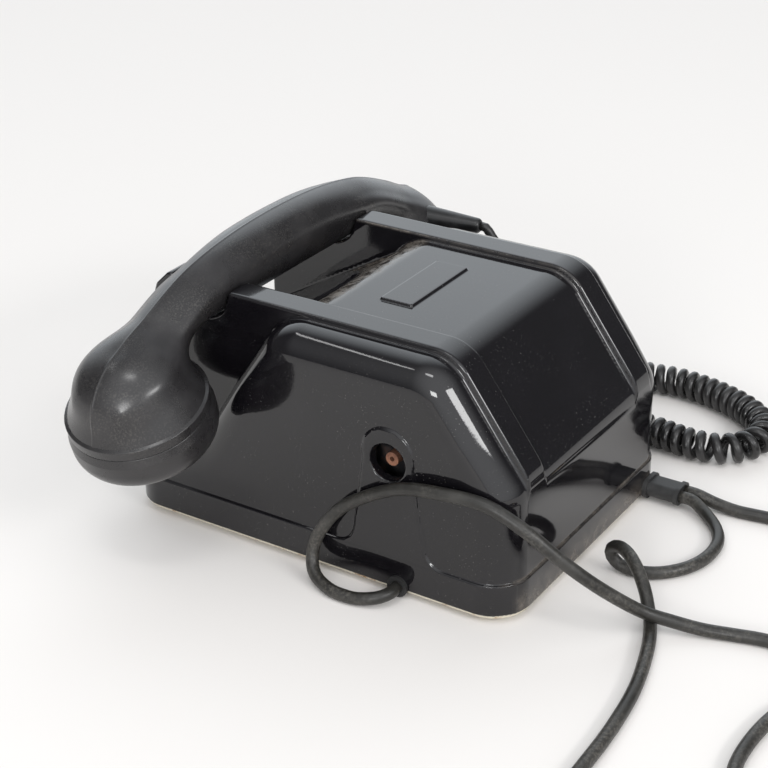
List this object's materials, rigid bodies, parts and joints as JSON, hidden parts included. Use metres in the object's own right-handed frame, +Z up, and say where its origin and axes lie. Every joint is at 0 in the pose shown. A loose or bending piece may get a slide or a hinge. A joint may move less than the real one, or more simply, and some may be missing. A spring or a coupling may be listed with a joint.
{
  "type": "magneto telephone",
  "caption": "Black bakelite desk telephone with a crank hole in its side, a handset across a railed cradle, a curly handset cord and straight line cords.",
  "frame": {"origin": "middle of the telephone's foot print on the table", "axes": "front to -Y, user's right (crank side) to +X, +Z up"},
  "size_m": [0.3865, 0.4215, 0.1271],
  "materials": {
    "housing_bakelite": "polished black phenolic moulding",
    "handset_bakelite": "worn black phenolic moulding",
    "plate_zinc": "dull zinc with rust",
    "steel": "plated",
    "rubber": "black rubber",
    "cord_rubber": "worn black rubber",
    "brass": "dull",
    "shaft_copper": "tarnished copper plate",
    "magnet_iron": "black oxide",
    "winding": "varnished winding",
    "gong_brass": "nickelled",
    "can": "plain",
    "block_bakelite": "brown phenolic"
  },
  "bodies": {
    "telephone": {"housing": "housing_bakelite", "base_plate": "plate_zinc", "base_screws": "steel", "feet": "rubber", "dial_blank": "housing_bakelite", "blank_ring": "steel", "magneto_frame": "brass", "magnets": "magnet_iron", "ringer_base": "steel", "gongs": "gong_brass", "gong_screws": "steel", "ringer_coils": "winding", "induction_core": "steel", "induction_coil": "winding", "capacitor": "can", "terminal_block": "block_bakelite", "terminal_screws": "brass", "hook_bracket": "steel", "contact_springs": "brass", "cord_sleeve": "rubber", "bell_bush": "rubber", "hand_bush": "rubber", "line_cord": "cord_rubber", "battery_cord": "cord_rubber", "bell_cord": "cord_rubber", "line_coil": "cord_rubber", "battery_coil": "cord_rubber", "bell_coil": "cord_rubber", "line_lugs": "brass", "battery_lugs": "brass", "bell_lugs": "brass", "handset_cord": "cord_rubber"},
    "handset": {"handset_body": "handset_bakelite", "receiver_cap": "handset_bakelite", "transmitter_cap": "handset_bakelite", "receiver_capsule": "can", "transmitter_capsule": "can", "strain_relief": "rubber"},
    "plungers": {"plungers": "steel"},
    "hook": {"hook_lever": "steel"},
    "magneto_drive": {"drive_shaft": "shaft_copper", "drive_gear": "brass"},
    "armature": {"armature": "winding", "pinion": "brass"},
    "clapper": {"clapper": "brass"}
  },
  "joints": [
    {"name": "handset_lift", "type": "slide", "parent": "telephone", "child": "handset", "axis": [0, 0, 1], "range_m": [0, 0.11], "deforming": ["handset_cord"]},
    {"name": "plunger_rise", "type": "slide", "parent": "telephone", "child": "plungers", "axis": [0, 0, 1], "range_m": [0, 0.0041]},
    {"name": "hook_swing", "type": "hinge", "parent": "telephone", "child": "hook", "pos_m": [0, -0.03, 0.058], "axis": [-1, 0, 0], "range_deg": [0, 6.9]},
    {"name": "magneto_turn", "type": "hinge", "parent": "telephone", "child": "magneto_drive", "pos_m": [0, 0.0413, 0.0625], "axis": [1, 0, 0], "continuous": true},
    {"name": "armature_turn", "type": "hinge", "parent": "telephone", "child": "armature", "pos_m": [0, 0.0413, 0.03125], "axis": [1, 0, 0], "continuous": true},
    {"name": "clapper_swing", "type": "hinge", "parent": "telephone", "child": "clapper", "pos_m": [-0.016, 0.044, 0.022], "axis": [0, 0, 1], "range_deg": [-1.2, 1.2]}
  ],
  "couplings": [
    {"joint": "plunger_rise", "follows": "handset_lift", "ratio": 0.036364},
    {"joint": "hook_swing", "follows": "handset_lift", "rad_per_m": 1.0719},
    {"joint": "armature_turn", "follows": "magneto_turn", "ratio": -4}
  ]
}
